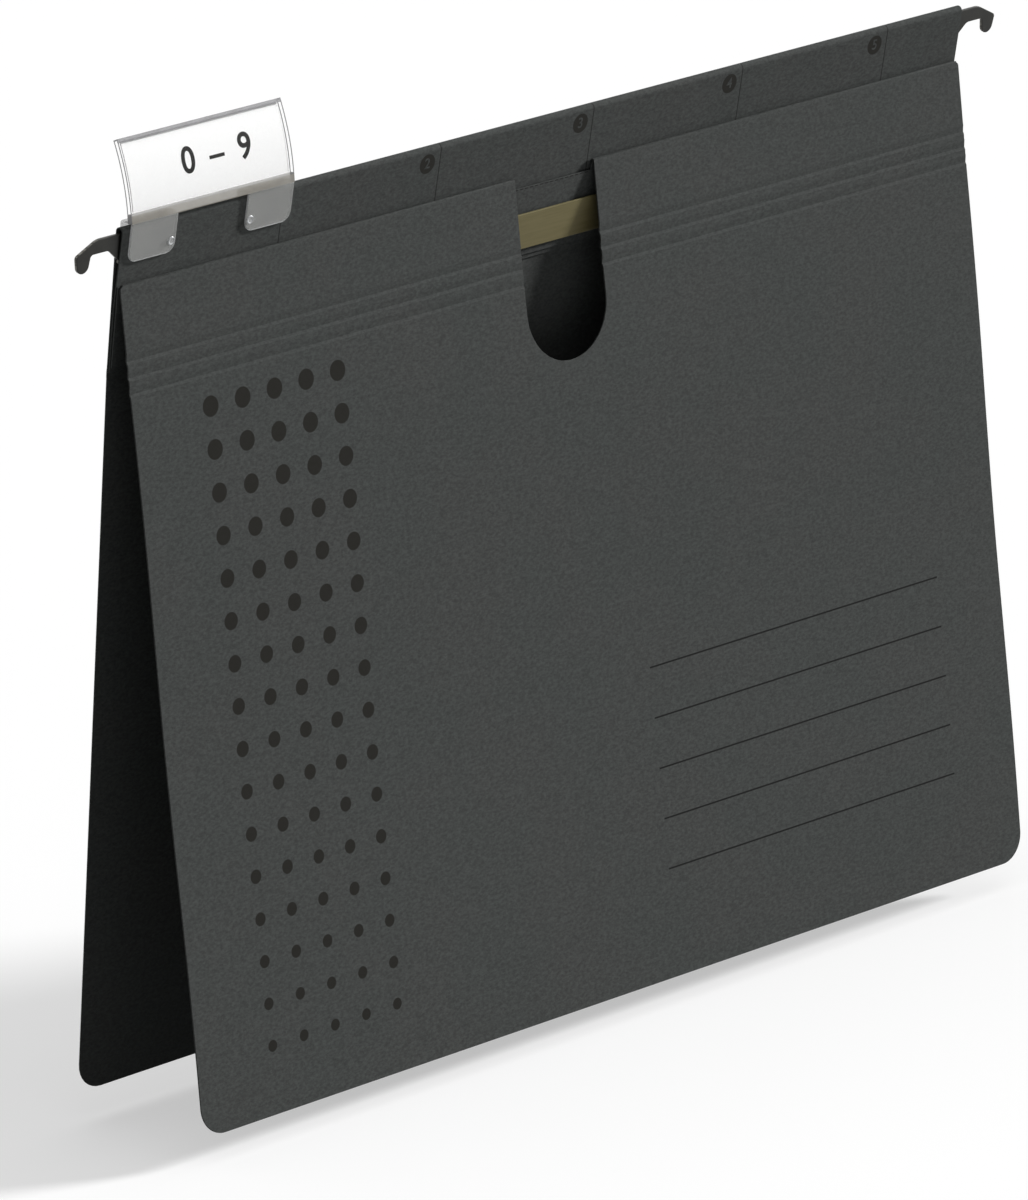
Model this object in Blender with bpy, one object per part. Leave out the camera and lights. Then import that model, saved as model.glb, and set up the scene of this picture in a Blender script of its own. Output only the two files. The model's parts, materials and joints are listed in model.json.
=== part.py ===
"""Hanging fastener folder for A4 sheets.

A board folder hangs from a flat steel rail with a hook at each end. The back board is
folded over the rail. The front board turns back at its top fold and is glued to the back,
and it bends at three creases. A prong fastener with a cover bar holds punched sheets
behind the finger notch. A clear tab with a card label rides on the top edge.

X runs along the rail, Y points away from the front, Z is up. The origin lies midway
between the two hook seats. All lengths are in metres.
"""
from math import asin, atan2, cos, pi, radians, sin

import bmesh
import bpy
from mathutils import Vector

# Board and clearances
BOARD = 0.0004              # thickness of the covers
GAP = 0.0003                # clearance between pieces that touch
BODY_WIDTH = 0.318          # covers and sleeve, along the rail

# Steel rail with its two hooks
RAIL_THICKNESS = 0.0010
RAIL_DEPTH = 0.0045         # rail below the hook seats, inside the sleeve
ARM_HEIGHT = 0.0039         # hook arm above its seat
HOOK_REACH = 0.015          # each hook beyond the covers
BRACE = 0.0036              # sloping brace between the covers' end and the seat
TIP_WIDTH = 0.0052          # downturned hook tip, where it leaves the arm
TIP_DROP = 0.0047           # tip below the seat
TIP_ROUND = 0.0018          # radius of the tip's end
TIP_TAPER = 0.0009          # how far the tip's outer edge slants in
SHOULDER_FALL = 0.0036      # how far the hook's outer shoulder falls
SHOULDER_REACH = 0.0070     # where the shoulder starts to fall, in from the hook's end

# Back board: sleeve over the rail, doubled band, then the loose panel
FOLD_ROOM = 0.0004          # free space on each side of the rail in the fold
RAIL_PLAY = 0.0001          # least space on each side of the rail at its lower edge
BAND_LENGTH = 0.0392        # from the fold's centre to the bending line
BAND_LEAN = radians(6.2)
BACK_LENGTH = 0.2022        # loose panel below the bending line
BACK_LEAN = radians(4.1)
CORNER_RADIUS = 0.008       # lower corners of both covers

# Front board
FRONT_DROP = 0.01605        # its top fold below the top of the sleeve
FRONT_LENGTH = 0.22815      # from the top fold to the lower edge
FRONT_LEAN = radians(7.15)
CREASE_START = 0.02025      # first crease below the top fold
CREASE_PITCH = 0.00433
TOP_CORNER = 0.0012         # small radius on the upper corners
NOTCH_WIDTH = 0.030
NOTCH_DEPTH = 0.05175
FLAP_NOTCH = 0.00295        # the notch goes on this far into the hinge flap
FLAP_SHORT = 0.0016         # the hinge flap ends short of the sleeve's own flap

# Prong fastener, measured from the top fold along the hinge flap
FASTENER_GAP = 0.0001       # between its fixed pieces
BAR_DROP = 0.0151           # centre line of the bar
BAR_LENGTH = 0.150
BAR_HEIGHT = 0.0102
BAR_THICKNESS = 0.0006
PRONG_SPACING = 0.080
PRONG_LENGTH = 0.032        # folded tongue
PRONG_WIDTH = 0.006
PRONG_THICKNESS = 0.0003
SLIDER_LENGTH = 0.016
SLIDER_SHEET = 0.0003
SLIDER_LIP = 0.0012
SLIDER_PLACE = 0.015        # centre of the locked slider, outside its prong

# Clear tab and its label
TAB_WIDTH = 0.0580
TAB_INSET = 0.0022          # tab's end short of the sleeve's left end, in place 1
TAB_SEAT = 0.0008           # pocket's foot above the sleeve's top
TAB_HEIGHT = 0.0198         # window with its upper edge, along the lean
TAB_LEAN = radians(13.6)
TAB_BULGE_RADIUS = 0.061    # the window curves towards the front
TAB_WALL = 0.0004
TAB_RIM = 0.0004            # closed upper edge of the pocket
TAB_LIP = 0.0026            # solid lower band of the pocket
LUG_WIDTH = 0.0165
LUG_LENGTH = 0.0110
LUG_THICKNESS = 0.0006
LUG_RADIUS = 0.003
LABEL_THICKNESS = 0.0003
LABEL_MARGIN = 0.0012       # label short of the tab's ends

# Facets of the round forms
ARC_STEPS = 10


def material(name, colour, roughness, metallic=0.0, alpha=1.0):
    """A plain Principled material."""
    made = bpy.data.materials.new(name)
    made.use_nodes = True
    shader = made.node_tree.nodes["Principled BSDF"]
    shader.inputs["Base Color"].default_value = (*colour, 1.0)
    shader.inputs["Roughness"].default_value = roughness
    shader.inputs["Metallic"].default_value = metallic
    shader.inputs["Alpha"].default_value = alpha
    made.diffuse_color = (*colour, alpha)
    return made


def axis_empty(name, place, lean=0.0, parent=None):
    """An empty on a fold, crease or slide, turned by the board's lean about X."""
    empty = bpy.data.objects.new(name, None)
    empty.location = place
    empty.rotation_euler = (lean, 0.0, 0.0)
    empty.parent = parent
    bpy.context.scene.collection.objects.link(empty)
    return empty


def node(name, shape, finish, parent=None):
    """A named object made from a finished bmesh."""
    bmesh.ops.recalc_face_normals(shape, faces=shape.faces)
    mesh = bpy.data.meshes.new(name)
    shape.to_mesh(mesh)
    shape.free()
    mesh.materials.append(finish)
    made = bpy.data.objects.new(name, mesh)
    made.parent = parent
    bpy.context.scene.collection.objects.link(made)
    return made


def prism(outline, sweep):
    """A closed solid: a flat outline of points, swept along a vector."""
    shape = bmesh.new()
    face = shape.faces.new([shape.verts.new(point) for point in outline])
    swept = bmesh.ops.extrude_face_region(shape, geom=[face])
    moved = [item for item in swept["geom"] if isinstance(item, bmesh.types.BMVert)]
    bmesh.ops.translate(shape, vec=sweep, verts=moved)
    return shape


def plate(outline, near, far):
    """A plate whose outline is given in X and Z, lying between two depths in Y."""
    points = [(x, near, z) for x, z in outline]
    return prism(points, (0.0, far - near, 0.0))


def drawn(outline, left, right):
    """A section given in Y and Z, drawn along X."""
    points = [(left, y, z) for y, z in outline]
    return prism(points, (right - left, 0.0, 0.0))


def arc(centre, radius, start, end, steps=ARC_STEPS):
    """Points on an arc, with angles in radians."""
    turns = [start + (end - start) * step / steps for step in range(steps + 1)]
    return [(centre[0] + radius * cos(turn), centre[1] + radius * sin(turn)) for turn in turns]


def sheet(path, thickness):
    """The outline of a bent sheet that follows a path of Y, Z points at mid thickness."""
    points = [Vector(point) for point in path]
    runs = [(b - a).normalized() for a, b in zip(points, points[1:])]
    sides = [Vector((-run.y, run.x)) for run in runs]
    corners = [sides[0]]
    for before, after in zip(sides, sides[1:]):
        corners.append((before + after) / (1.0 + before.dot(after)))
    corners.append(sides[-1])
    half = thickness / 2.0
    near = [point + corner * half for point, corner in zip(points, corners)]
    far = [point - corner * half for point, corner in zip(points, corners)]
    return [tuple(point) for point in near + far[::-1]]


def join_tool(target, name, shape, operation, parent):
    """Cut a hidden shape out of a piece, or weld it on."""
    tool = node(name, shape, target.active_material, parent)
    tool.hide_render = True
    tool.display_type = "WIRE"
    step = target.modifiers.new(name, "BOOLEAN")
    step.operation = operation
    step.object = tool


def downwards(lean):
    """The way down along a board in Y, Z: a positive lean carries its foot backwards."""
    return Vector((sin(lean), -cos(lean)))


def backwards(lean):
    """The board's rear normal in Y, Z."""
    return Vector((cos(lean), sin(lean)))


for old in list(bpy.data.objects):
    bpy.data.objects.remove(old, do_unlink=True)

board = material("anthracite_board", (0.060, 0.063, 0.062), 0.85)
steel = material("dark_steel", (0.075, 0.075, 0.070), 0.40, metallic=0.8)
brass = material("brass_coating", (0.42, 0.34, 0.16), 0.35, metallic=0.9)
clear = material("clear_plastic", (0.85, 0.86, 0.86), 0.12, alpha=0.45)
card = material("white_card", (0.90, 0.90, 0.90), 0.75)

# The sleeve's section: the rail stands in a wedge between the back board and its flap.
fold_inside = RAIL_THICKNESS / 2.0 + FOLD_ROOM
fold_outside = fold_inside + BOARD
fold_rise = ARM_HEIGHT + GAP
rail_foot = fold_rise + RAIL_DEPTH
wedge_narrowing = (2.0 * fold_inside - RAIL_THICKNESS - 2.0 * RAIL_PLAY) / rail_foot
flap_length = (2.0 * fold_inside - GAP) / wedge_narrowing
flap_lean = BAND_LEAN + asin(wedge_narrowing)
rail_lean = (BAND_LEAN + flap_lean) / 2.0
fold_centre = -downwards(rail_lean) * fold_rise
half_width = BODY_WIDTH / 2.0

# Hanging rail: a steel strip whose ends are arms with downturned tips.
seat_end = half_width + BRACE
hook_end = half_width + HOOK_REACH
tip_start = hook_end - TIP_WIDTH
tip_centre = (hook_end - TIP_TAPER - TIP_ROUND, TIP_ROUND - TIP_DROP)
right_hook = [
    (half_width - GAP, -RAIL_DEPTH),
    (half_width - GAP, -BRACE),
    (seat_end, 0.0),
    (tip_start, 0.0),
    *arc(tip_centre, TIP_ROUND, pi, 2.0 * pi),
    (hook_end, ARM_HEIGHT - SHOULDER_FALL),
    (hook_end - SHOULDER_REACH, ARM_HEIGHT),
]
left_hook = [(-x, z) for x, z in reversed(right_hook)]
rail_axis = axis_empty("rail_frame", (0.0, 0.0, 0.0), rail_lean)
node(
    "hanging_rail",
    plate(right_hook + left_hook, -RAIL_THICKNESS / 2.0, RAIL_THICKNESS / 2.0),
    steel,
    rail_axis,
)

# Back board above the bending line: up the back, over the rail, down the glued flap.
middle_radius = fold_inside + BOARD / 2.0
back_start = fold_centre + backwards(BAND_LEAN) * middle_radius
bend_line = back_start + downwards(BAND_LEAN) * BAND_LENGTH
flap_crease = fold_centre - backwards(flap_lean) * middle_radius + downwards(flap_lean) * flap_length
flap_end = flap_crease + downwards(BAND_LEAN) * (BAND_LENGTH - flap_length - GAP)
over_rail = arc(fold_centre, middle_radius, BAND_LEAN, pi + flap_lean, 2 * ARC_STEPS)
sleeve_path = [
    bend_line - downwards(BAND_LEAN) * GAP / 2.0,
    *over_rail,
    flap_crease,
    flap_end,
]
node("back_sleeve", drawn(sheet(sleeve_path, BOARD), -half_width, half_width), board)

# Loose back panel, hanging from the bending line.
bend_axis = axis_empty("back_bend_axis", (0.0, *bend_line), BACK_LEAN)
corner_x = half_width - CORNER_RADIUS
back_outline = [
    (half_width, -GAP / 2.0),
    (-half_width, -GAP / 2.0),
    *arc((-corner_x, CORNER_RADIUS - BACK_LENGTH), CORNER_RADIUS, pi, 1.5 * pi),
    *arc((corner_x, CORNER_RADIUS - BACK_LENGTH), CORNER_RADIUS, 1.5 * pi, 2.0 * pi),
]
node("back_panel", plate(back_outline, -BOARD / 2.0, BOARD / 2.0), board, bend_axis)

# Hinge flap: from the front board's top fold down the glued flap to the end of the band.
fold_half = (BOARD + GAP) / 2.0
fold_height = fold_centre.y + fold_outside - FRONT_DROP
flap_face = fold_centre - backwards(flap_lean) * fold_outside
flap_face_depth = flap_face.x + (flap_face.y - fold_height) * sin(flap_lean) / cos(flap_lean)
top_fold = Vector((flap_face_depth - GAP - BOARD / 2.0 - fold_half, fold_height))
hinge_start = top_fold + Vector((fold_half, 0.0))
hinge_end = flap_end - backwards(BAND_LEAN) * (BOARD + GAP)
hinge_run = hinge_end - hinge_start
hinge_lean = atan2(hinge_run.x, -hinge_run.y)
hinge_length = hinge_run.length - FLAP_SHORT
notch_half = NOTCH_WIDTH / 2.0
flap_outline = [
    (half_width, 0.0),
    (notch_half, 0.0),
    (notch_half, -FLAP_NOTCH),
    (-notch_half, -FLAP_NOTCH),
    (-notch_half, 0.0),
    (-half_width, 0.0),
    (-half_width, -hinge_length),
    (half_width, -hinge_length),
]
flap_frame = axis_empty("hinge_flap_frame", (0.0, *hinge_start), hinge_lean)
node("hinge_flap", plate(flap_outline, -BOARD / 2.0, BOARD / 2.0), board, flap_frame)

# Front board: two top strips, two pairs of crease strips and the panel, each on its own fold.
front_axis = axis_empty("front_fold_axis", (0.0, *top_fold), -FRONT_LEAN)
upper_axis = axis_empty("upper_crease_axis", (0.0, -fold_half, -CREASE_START), parent=front_axis)
middle_axis = axis_empty("middle_crease_axis", (0.0, 0.0, -CREASE_PITCH), parent=upper_axis)
lower_axis = axis_empty("lower_crease_axis", (0.0, 0.0, -CREASE_PITCH), parent=middle_axis)
top_foot = GAP / 2.0 - CREASE_START
strip_head = -GAP / 2.0
strip_foot = GAP / 2.0 - CREASE_PITCH
corner_centre = (half_width - TOP_CORNER, -TOP_CORNER)
for side, mirror in (("left", -1.0), ("right", 1.0)):
    top_outline = [
        (notch_half, top_foot),
        (half_width, top_foot),
        *arc(corner_centre, TOP_CORNER, 0.0, pi / 2.0),
        (notch_half, 0.0),
    ]
    strip_outline = [
        (notch_half, strip_foot),
        (half_width, strip_foot),
        (half_width, strip_head),
        (notch_half, strip_head),
    ]
    top_points = [(mirror * x, z) for x, z in top_outline]
    strip_points = [(mirror * x, z) for x, z in strip_outline]
    face = -fold_half - BOARD / 2.0
    node("front_top_strip_" + side, plate(top_points, face, face + BOARD), board, front_axis)
    node("crease_strip_upper_" + side, plate(strip_points, -BOARD / 2.0, BOARD / 2.0), board, upper_axis)
    node("crease_strip_lower_" + side, plate(strip_points, -BOARD / 2.0, BOARD / 2.0), board, middle_axis)

crease_end = CREASE_START + 2.0 * CREASE_PITCH
panel_foot = crease_end - FRONT_LENGTH
notch_centre = crease_end - NOTCH_DEPTH + notch_half
front_outline = [
    (half_width, strip_head),
    (notch_half, strip_head),
    *arc((0.0, notch_centre), notch_half, 0.0, -pi, 2 * ARC_STEPS),
    (-notch_half, strip_head),
    (-half_width, strip_head),
    *arc((-corner_x, panel_foot + CORNER_RADIUS), CORNER_RADIUS, pi, 1.5 * pi),
    *arc((corner_x, panel_foot + CORNER_RADIUS), CORNER_RADIUS, 1.5 * pi, 2.0 * pi),
]
node("front_panel", plate(front_outline, -BOARD / 2.0, BOARD / 2.0), board, lower_axis)

# Prong strip: one metal strip across the hinge flap, its two tongues folded outwards over the bar.
strip_depth = -BOARD / 2.0 - FASTENER_GAP - PRONG_THICKNESS / 2.0
bar_back = strip_depth - PRONG_THICKNESS / 2.0 - 2.0 * FASTENER_GAP
bar_front = bar_back - BAR_THICKNESS
tongue_depth = bar_front - FASTENER_GAP - PRONG_THICKNESS / 2.0
prong_x = PRONG_SPACING / 2.0
tongue_end = prong_x + PRONG_LENGTH
prong_path = [
    (-tongue_end, tongue_depth),
    (-prong_x, tongue_depth),
    (-prong_x, strip_depth),
    (prong_x, strip_depth),
    (prong_x, tongue_depth),
    (tongue_end, tongue_depth),
]
prong_foot = -BAR_DROP - PRONG_WIDTH / 2.0
prong_points = [(x, y, prong_foot) for x, y in sheet(prong_path, PRONG_THICKNESS)]
node("prong_strip", prism(prong_points, (0.0, 0.0, PRONG_WIDTH)), steel, flap_frame)

# Cover bar: a coated metal bar with a slot for each tongue.
bar_half = BAR_LENGTH / 2.0
bar_top = -BAR_DROP + BAR_HEIGHT / 2.0
bar_foot = -BAR_DROP - BAR_HEIGHT / 2.0
bar_outline = [(-bar_half, bar_foot), (bar_half, bar_foot), (bar_half, bar_top), (-bar_half, bar_top)]
cover_bar = node("cover_bar", plate(bar_outline, bar_front, bar_back), brass, flap_frame)
slot_half = PRONG_THICKNESS / 2.0 + GAP
slot_top = -BAR_DROP + PRONG_WIDTH / 2.0 + GAP
slot_foot = -BAR_DROP - PRONG_WIDTH / 2.0 - GAP
for side, mirror in (("left", -1.0), ("right", 1.0)):
    slot_x = mirror * prong_x
    slot_outline = [
        (slot_x - slot_half, slot_foot),
        (slot_x + slot_half, slot_foot),
        (slot_x + slot_half, slot_top),
        (slot_x - slot_half, slot_top),
    ]
    slot = plate(slot_outline, bar_front - GAP, bar_back + GAP)
    join_tool(cover_bar, "bar_slot_" + side, slot, "DIFFERENCE", flap_frame)

# Locking sliders: thin clips wrapped round the bar, pushed out over the folded tongues.
slider_front = tongue_depth - PRONG_THICKNESS / 2.0 - GAP - SLIDER_SHEET / 2.0
slider_back = bar_back + GAP / 2.0 + SLIDER_SHEET / 2.0
slider_half = BAR_HEIGHT / 2.0 + GAP + SLIDER_SHEET / 2.0
slider_path = [
    (slider_back, -BAR_DROP + slider_half - SLIDER_LIP),
    (slider_back, -BAR_DROP + slider_half),
    (slider_front, -BAR_DROP + slider_half),
    (slider_front, -BAR_DROP - slider_half),
    (slider_back, -BAR_DROP - slider_half),
    (slider_back, -BAR_DROP - slider_half + SLIDER_LIP),
]
for side, mirror in (("left", -1.0), ("right", 1.0)):
    slider_x = mirror * (prong_x + SLIDER_PLACE)
    slide = axis_empty("slider_axis_" + side, (slider_x, 0.0, 0.0), parent=flap_frame)
    clip = drawn(sheet(slider_path, SLIDER_SHEET), -SLIDER_LENGTH / 2.0, SLIDER_LENGTH / 2.0)
    node("slider_" + side, clip, brass, slide)

# Clear tab: a curved pocket over the sleeve's top edge, with two lugs in front and two behind.
pocket_depth = LABEL_THICKNESS + 2.0 * GAP
pocket_total = pocket_depth + 2.0 * TAB_WALL
seat_height = fold_centre.y + fold_outside + TAB_SEAT
lug_face = flap_face - backwards(flap_lean) * (GAP + LUG_THICKNESS)
lug_rise = (seat_height - lug_face.y) / cos(flap_lean)
tab_foot = lug_face - downwards(flap_lean) * lug_rise
tab_length = TAB_LIP + TAB_HEIGHT
bulge_half = asin(tab_length / 2.0 / TAB_BULGE_RADIUS)
chord_middle = tab_foot - downwards(-TAB_LEAN) * tab_length / 2.0
bulge_centre = chord_middle + backwards(-TAB_LEAN) * TAB_BULGE_RADIUS * cos(bulge_half)
foot_turn = pi - TAB_LEAN + bulge_half
head_turn = pi - TAB_LEAN - bulge_half
pocket_foot = foot_turn - TAB_LIP / TAB_BULGE_RADIUS
pocket_head = head_turn + TAB_RIM / TAB_BULGE_RADIUS
inner_front = TAB_BULGE_RADIUS - TAB_WALL
inner_back = inner_front - pocket_depth
tab_outline = [
    *arc(bulge_centre, TAB_BULGE_RADIUS, head_turn, foot_turn),
    *arc(bulge_centre, TAB_BULGE_RADIUS - pocket_total, foot_turn, head_turn),
]
pocket_outline = [
    *arc(bulge_centre, inner_front, pocket_head, pocket_foot),
    *arc(bulge_centre, inner_back, pocket_foot, pocket_head),
]
tab_half = TAB_WIDTH / 2.0
tab_middle = TAB_INSET + tab_half - half_width
tab_axis = axis_empty("tab_slide_axis", (tab_middle, 0.0, 0.0))
tab_holder = node("tab_holder", drawn(tab_outline, -tab_half, tab_half), clear, tab_axis)
pocket = drawn(pocket_outline, -tab_half - GAP, tab_half + GAP)
join_tool(tab_holder, "tab_pocket", pocket, "DIFFERENCE", tab_axis)

# Each saddle runs over the sleeve's top and down its back; each front lug has round lower corners.
back_face = fold_centre + backwards(BAND_LEAN) * (fold_outside + GAP + LUG_THICKNESS / 2.0)
bridge_height = seat_height + LUG_THICKNESS / 2.0
saddle_top = back_face - downwards(BAND_LEAN) * (bridge_height - back_face.y) / cos(BAND_LEAN)
saddle_path = [
    saddle_top + downwards(BAND_LEAN) * LUG_LENGTH,
    saddle_top,
    (tab_foot.x + pocket_total / 2.0, bridge_height),
]
lug_frame = axis_empty("lug_frame", (0.0, *tab_foot), flap_lean, tab_axis)
lug_corner = LUG_RADIUS - LUG_LENGTH
for side, mirror in (("left", -1.0), ("right", 1.0)):
    low, high = sorted((mirror * (tab_half - LUG_WIDTH), mirror * tab_half))
    saddle = drawn(sheet(saddle_path, LUG_THICKNESS), low, high)
    join_tool(tab_holder, "tab_saddle_" + side, saddle, "UNION", tab_axis)
    lug_outline = [
        (low, GAP),
        *arc((low + LUG_RADIUS, lug_corner), LUG_RADIUS, pi, 1.5 * pi),
        *arc((high - LUG_RADIUS, lug_corner), LUG_RADIUS, 1.5 * pi, 2.0 * pi),
        (high, GAP),
    ]
    join_tool(tab_holder, "tab_lug_" + side, plate(lug_outline, 0.0, LUG_THICKNESS), "UNION", lug_frame)

# Card label, curved with the pocket that it slides in.
label_radius = (inner_front + inner_back) / 2.0
label_room = GAP / TAB_BULGE_RADIUS
label_path = arc(bulge_centre, label_radius, pocket_head + label_room, pocket_foot - label_room)
label_half = tab_half - LABEL_MARGIN
label_axis = axis_empty("label_slide_axis", (0.0, 0.0, 0.0), parent=tab_axis)
node("tab_label", drawn(sheet(label_path, LABEL_THICKNESS), -label_half, label_half), card, label_axis)
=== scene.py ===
"""Looks of a hanging fastener folder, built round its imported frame. Lengths are in metres."""
import json
from math import asin, atan2, cos, pi, radians, sin

import bmesh
import bpy
from mathutils import Matrix, Vector


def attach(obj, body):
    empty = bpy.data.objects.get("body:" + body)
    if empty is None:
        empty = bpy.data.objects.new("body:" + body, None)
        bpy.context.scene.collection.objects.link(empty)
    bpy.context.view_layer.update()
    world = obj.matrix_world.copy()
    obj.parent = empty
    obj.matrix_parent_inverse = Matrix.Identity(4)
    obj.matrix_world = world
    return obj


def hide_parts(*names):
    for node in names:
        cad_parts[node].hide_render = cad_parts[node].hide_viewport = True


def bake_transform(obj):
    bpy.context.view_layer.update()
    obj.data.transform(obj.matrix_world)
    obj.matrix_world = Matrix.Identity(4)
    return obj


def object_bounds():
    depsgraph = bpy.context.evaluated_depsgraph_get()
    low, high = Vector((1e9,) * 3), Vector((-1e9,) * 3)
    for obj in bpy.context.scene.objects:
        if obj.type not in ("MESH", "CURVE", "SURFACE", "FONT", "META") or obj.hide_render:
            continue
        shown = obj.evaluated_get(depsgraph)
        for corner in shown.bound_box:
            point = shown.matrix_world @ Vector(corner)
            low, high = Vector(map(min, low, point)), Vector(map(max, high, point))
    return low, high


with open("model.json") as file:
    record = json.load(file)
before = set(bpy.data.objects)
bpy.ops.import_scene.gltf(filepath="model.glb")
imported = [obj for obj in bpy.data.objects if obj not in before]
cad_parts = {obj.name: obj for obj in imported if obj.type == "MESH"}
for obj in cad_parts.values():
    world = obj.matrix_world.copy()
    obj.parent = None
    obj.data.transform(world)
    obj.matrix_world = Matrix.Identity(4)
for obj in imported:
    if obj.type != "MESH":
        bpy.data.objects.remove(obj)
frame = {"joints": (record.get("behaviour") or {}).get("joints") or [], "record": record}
cad_low, cad_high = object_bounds()

# The hanging rail is one flat strip of dark varnished steel with a hook stamped at each end.
# It lies loose in the fold of the back board, and its hooks sit on the rails of a filing frame.
BOARD_HALF = 0.159           # half the width of the covers and the sleeve
CLEARANCE = 0.0003           # room left between neighbouring pieces
RAIL_THICKNESS = 0.0010
RAIL_DEPTH = 0.0045          # below the hook seats, inside the sleeve
ARM_HEIGHT = 0.0039          # above the hook seats
BRACE = 0.0036               # sloping corner between the sleeve and the seat
HOOK_REACH = 0.015           # beyond the covers
TIP_WIDTH = 0.0052
TIP_DROP = 0.0047
TIP_ROUND = 0.0018
TIP_TAPER = 0.0009
SHOULDER_FALL = 0.0036       # slope from the arm's top down to the tip
SHOULDER_REACH = 0.0070
THROAT_ROUND = 0.0008        # soft inner corners of the hook
SHOULDER_ROUND = 0.0012
STEEL_RIM = 0.00018          # stamped edge, slightly rolled over
STEEL_COLOUR = (0.010, 0.010, 0.0085, 1.0)
STEEL_LIGHT = (0.018, 0.018, 0.015, 1.0)
BARE_STEEL = (0.16, 0.155, 0.14, 1.0)
SHEAR_STRETCH = (60.0, 60.0, 1800.0)  # fine marks of the shear, close together in height
STEEL_EDGE = 0.3             # faces that turn less than this to the front are cut edges
SHARP = radians(50.0)        # edges bent more than this are rims
SMOOTH = radians(20.0)       # edges bent less than this are shaded smooth
RIM_STEPS = 2
CORNER_STEPS = 8
GRAIN_LOW = 0.3              # nearly all of a grain's values lie between these
GRAIN_HIGH = 0.7
SAME_PLACE = 1e-6            # corners closer than this are one
FORWARDS = (0.0, -1.0, 0.0)


def node(tree, kind, joined=None, **settings):
    """A shader node with its settings; its inputs are joined to sockets or given plain values."""
    made = tree.nodes.new(kind)
    for setting, value in settings.items():
        setattr(made, setting, value)
    for key, value in (joined or {}).items():
        if isinstance(value, bpy.types.NodeSocket):
            tree.links.new(value, made.inputs[key])
        else:
            made.inputs[key].default_value = value
    return made


def finish(name):
    """A new material, with its node tree, its shader and its Object coordinates."""
    made = bpy.data.materials.new(name)
    made.use_nodes = True
    tree = made.node_tree
    shader = tree.nodes["Principled BSDF"]
    place = node(tree, "ShaderNodeTexCoord").outputs["Object"]
    return made, tree, shader, place


def grain(tree, place, scale=1.0, detail=4.0, rough=0.6):
    """Noise of the given scale, as a value about one half."""
    settings = {"Vector": place, "Scale": scale, "Detail": detail, "Roughness": rough}
    return node(tree, "ShaderNodeTexNoise", settings).outputs["Fac"]


def stretched(tree, place, scale):
    """Coordinates scaled by one factor for each axis, for a grain that runs one way."""
    return node(tree, "ShaderNodeMapping", {"Vector": place, "Scale": scale}).outputs["Vector"]


def spread(tree, value, low, high, least=0.0, most=1.0):
    """A value moved from one range into another, and held inside it."""
    made = node(
        tree,
        "ShaderNodeMapRange",
        {"Value": value, "From Min": low, "From Max": high, "To Min": least, "To Max": most},
        interpolation_type="SMOOTHSTEP",
    )
    return made.outputs["Result"]


def mixed(tree, share, first, second, way="MIX"):
    """Two colours mixed by a share, on the node's numbered colour sockets."""
    made = node(tree, "ShaderNodeMix", {0: share, 6: first, 7: second}, data_type="RGBA", blend_type=way)
    return made.outputs[2]


def toned(tree, shader, pattern, first, second, smooth, rough):
    """Let a grain carry the shader from a first colour to a second, and from smooth to rough."""
    share = spread(tree, pattern, GRAIN_LOW, GRAIN_HIGH)
    tree.links.new(mixed(tree, share, first, second), shader.inputs["Base Color"])
    roughness = spread(tree, pattern, GRAIN_LOW, GRAIN_HIGH, smooth, rough)
    tree.links.new(roughness, shader.inputs["Roughness"])


def raised(tree, shader, height, strength, depth):
    """Give the shader a fine relief."""
    bump = node(tree, "ShaderNodeBump", {"Height": height, "Strength": strength, "Distance": depth})
    tree.links.new(bump.outputs["Normal"], shader.inputs["Normal"])


def rounded(shape, geom, size, steps, what):
    """Round the given corners (VERTICES) or edges (EDGES) of a shape."""
    bmesh.ops.bevel(
        shape,
        geom=geom,
        offset=size,
        offset_type="OFFSET",
        segments=steps,
        profile=0.5,
        affect=what,
        material=-1,
    )


def sharp_edges(shape):
    """The edges of a shape that are bent enough to be its rims or bends."""
    return [edge for edge in shape.edges if edge.is_manifold and edge.calc_face_angle() > SHARP]


def flat_face(corners, steps=CORNER_STEPS):
    """One flat face in X and Z. Each corner is x, z and the length of edge that its rounding takes."""
    shape = bmesh.new()
    made = [shape.verts.new((x, 0.0, z)) for x, z, _ in corners]
    shape.faces.new(made)
    for vert, (_, _, rounding) in zip(made, corners):
        if rounding:
            rounded(shape, [vert], rounding, steps, "VERTICES")
    return shape


def thicken(shape, thickness, outward, rim):
    """Give an open sheet its thickness, away from its outer side, and soften its cut edges."""
    bmesh.ops.recalc_face_normals(shape, faces=shape.faces[:])
    outmost = max(shape.faces, key=lambda face: face.calc_center_median().dot(Vector(outward)))
    if outmost.normal.dot(Vector(outward)) < 0.0:
        bmesh.ops.reverse_faces(shape, faces=shape.faces[:])
    bmesh.ops.solidify(shape, geom=shape.faces[:], thickness=thickness)
    bmesh.ops.recalc_face_normals(shape, faces=shape.faces[:])
    rounded(shape, sharp_edges(shape), rim, RIM_STEPS, "EDGES")


def sheet(shape, thickness, rim):
    """Make a flat face a sheet, with half of its thickness on either side of the face."""
    thicken(shape, thickness, FORWARDS, rim)
    bmesh.ops.translate(shape, verts=shape.verts, vec=(0.0, -thickness / 2.0, 0.0))


def lean_of(run):
    """How far a line that runs down leans: more than nought where its foot goes backwards."""
    return atan2(run.y, -run.z)


def leaning(place, lean):
    """A board's own frame: its place, turned about the rail by its lean."""
    return Matrix.Translation(place) @ Matrix.Rotation(lean, 4, "X")


def put(shape, place):
    """Set a shape in its place."""
    bmesh.ops.transform(shape, matrix=place, verts=shape.verts)


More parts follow.
